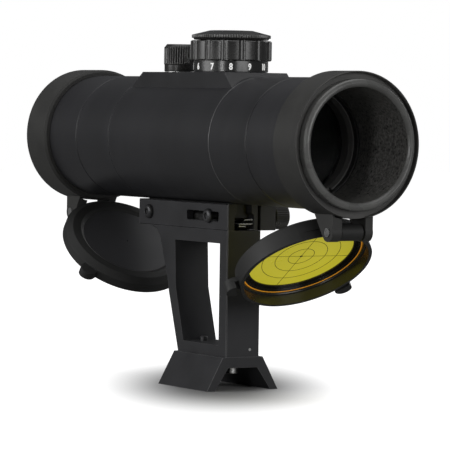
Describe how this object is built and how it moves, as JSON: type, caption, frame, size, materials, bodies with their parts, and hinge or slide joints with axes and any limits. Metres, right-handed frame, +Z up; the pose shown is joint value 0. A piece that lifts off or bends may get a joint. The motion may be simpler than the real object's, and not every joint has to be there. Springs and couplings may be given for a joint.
{
  "type": "finder scope",
  "caption": "Tube finder with a red-dot dimmer dial, adjuster knobs, sprung flip caps that carry a pinhole and a ringed sun screen, and a quick-release bracket on a dovetail foot.",
  "frame": {"origin": "centre of the dovetail foot's underside", "axes": "+Z up, +Y along the sight direction (towards the sky end), +X to the right of someone looking through it"},
  "size_m": [0.0668, 0.2162, 0.1411],
  "materials": {
    "anodised": "matte black anodised aluminium, fine grain",
    "inner_black": "flat black inside",
    "soft_black": "matte moulded black",
    "cap_black": "matte outside, glossy dish inside",
    "disc_grey": "smooth dark grey",
    "screen": "clear yellow acrylic with engraved lines",
    "bezel": "gloss black",
    "steel": "plain steel",
    "dark_steel": "blackened steel",
    "brass": "machined brass",
    "lens": "coated glass",
    "led": "clear red",
    "board": "green laminate",
    "battery": "nickel plated",
    "wire": "red insulation",
    "seal": "black rubber"
  },
  "bodies": {
    "bracket": {"bracket_frame": "anodised", "dovetail_foot": "anodised", "foot_bolts": "steel", "grub_screw": "steel", "left_clamp_plate": "anodised", "plate_screws": "dark_steel", "friction_screw": "dark_steel", "clamp_block": "anodised", "block_screws": "dark_steel", "rail_leaf_spring": "steel"},
    "jaw": {"clamp_jaw": "anodised", "jaw_guide_pins": "steel"},
    "clamp_knob": {"clamp_knob": "anodised", "clamp_screw": "steel"},
    "near_cap": {"near_cap": "cap_black", "sun_screen": "screen", "screen_bezel": "bezel"},
    "far_cap": {"far_cap": "cap_black", "pinhole_disc": "disc_grey"},
    "dial": {"brightness_dial": "anodised"},
    "cap_seal": {"battery_cap_seal": "seal"},
    "battery_cap": {"battery_cap": "anodised"},
    "elevation_adjuster": {"elevation_knob": "anodised", "elevation_screw": "steel"},
    "windage_adjuster": {"windage_knob": "anodised", "windage_screw": "steel"},
    "gimbal": {"gimbal_ring": "inner_black", "pan_pins": "steel"},
    "emitter": {"emitter_carrier": "inner_black", "led_emitter": "led"},
    "tube": {"adjuster_washers": "steel", "battery_contact": "steel", "carrier_spring": "steel", "center_tube": "anodised", "circuit_board": "board", "coin_battery": "battery", "detent_ball": "steel", "detent_spring": "steel", "dimmer_base": "anodised", "eye_hood": "anodised", "eye_housing": "anodised", "eye_retainer": "inner_black", "eye_window": "lens", "far_cap_ring": "soft_black", "far_hinge_pin": "steel", "far_hinge_spring": "steel", "glare_stop": "inner_black", "led_wire": "wire", "near_cap_ring": "soft_black", "near_hinge_pin": "steel", "near_hinge_spring": "steel", "objective_hood": "anodised", "objective_housing": "anodised", "objective_lens": "lens", "objective_retainer": "inner_black", "rail_screws": "dark_steel", "slide_stop_screw": "dark_steel", "tilt_pins": "steel", "tube_rail": "anodised"}
  },
  "joints": [
    {"name": "tube_slide", "type": "slide", "parent": "bracket", "child": "tube", "axis": [0, 1, 0], "range_m": [-0.0052, 0.0155]},
    {"name": "jaw_slide", "type": "slide", "parent": "bracket", "child": "jaw", "axis": [1, 0, 0], "range_m": [0, 0.00105]},
    {"name": "clamp_knob_turn", "type": "hinge", "parent": "jaw", "child": "clamp_knob", "pos_m": [0, -0.01245, 0.0681], "axis": [1, 0, 0], "range_deg": [0, 540.05]},
    {"name": "near_cap_hinge", "type": "hinge", "parent": "tube", "child": "near_cap", "pos_m": [0, -0.09285, 0.06535], "axis": [-1, 0, 0], "range_deg": [0, 235.15], "stiffness_Nm_per_rad": 0.006, "springref_deg": -85.94},
    {"name": "far_cap_hinge", "type": "hinge", "parent": "tube", "child": "far_cap", "pos_m": [0, 0.10735, 0.06535], "axis": [1, 0, 0], "range_deg": [0, 231.7], "stiffness_Nm_per_rad": 0.006, "springref_deg": -85.94},
    {"name": "dial_turn", "type": "hinge", "parent": "tube", "child": "dial", "pos_m": [0, -0.00655, 0.13], "axis": [0, 0, 1], "range_deg": [-60, 270]},
    {"name": "battery_cap_lift", "type": "slide", "parent": "tube", "child": "cap_seal", "axis": [0, 0, 1], "range_m": [0, 0.0016]},
    {"name": "battery_cap_turn", "type": "hinge", "parent": "cap_seal", "child": "battery_cap", "pos_m": [0, -0.00655, 0.139], "axis": [0, 0, 1], "range_deg": [0, 720.05]},
    {"name": "elevation_turn", "type": "hinge", "parent": "tube", "child": "elevation_adjuster", "pos_m": [0, 0.03335, 0.13], "axis": [0, 0, 1], "range_deg": [-360, 360]},
    {"name": "windage_turn", "type": "hinge", "parent": "tube", "child": "windage_adjuster", "pos_m": [0.03, 0.03335, 0.098], "axis": [1, 0, 0], "range_deg": [-360, 360]},
    {"name": "emitter_tilt", "type": "hinge", "parent": "tube", "child": "gimbal", "pos_m": [0, 0.01375, 0.098], "axis": [1, 0, 0], "range_deg": [-1, 1]},
    {"name": "emitter_pan", "type": "hinge", "parent": "gimbal", "child": "emitter", "pos_m": [0, 0.01375, 0.098], "axis": [0, 0, 1], "range_deg": [-1, 1]}
  ],
  "couplings": [
    {"joint": "clamp_knob_turn", "follows": "jaw_slide", "rad_per_m": 8976},
    {"joint": "battery_cap_turn", "follows": "battery_cap_lift", "rad_per_m": 7854},
    {"joint": "emitter_tilt", "follows": "elevation_turn", "ratio": 0.0027778},
    {"joint": "emitter_pan", "follows": "windage_turn", "ratio": -0.0027778}
  ]
}
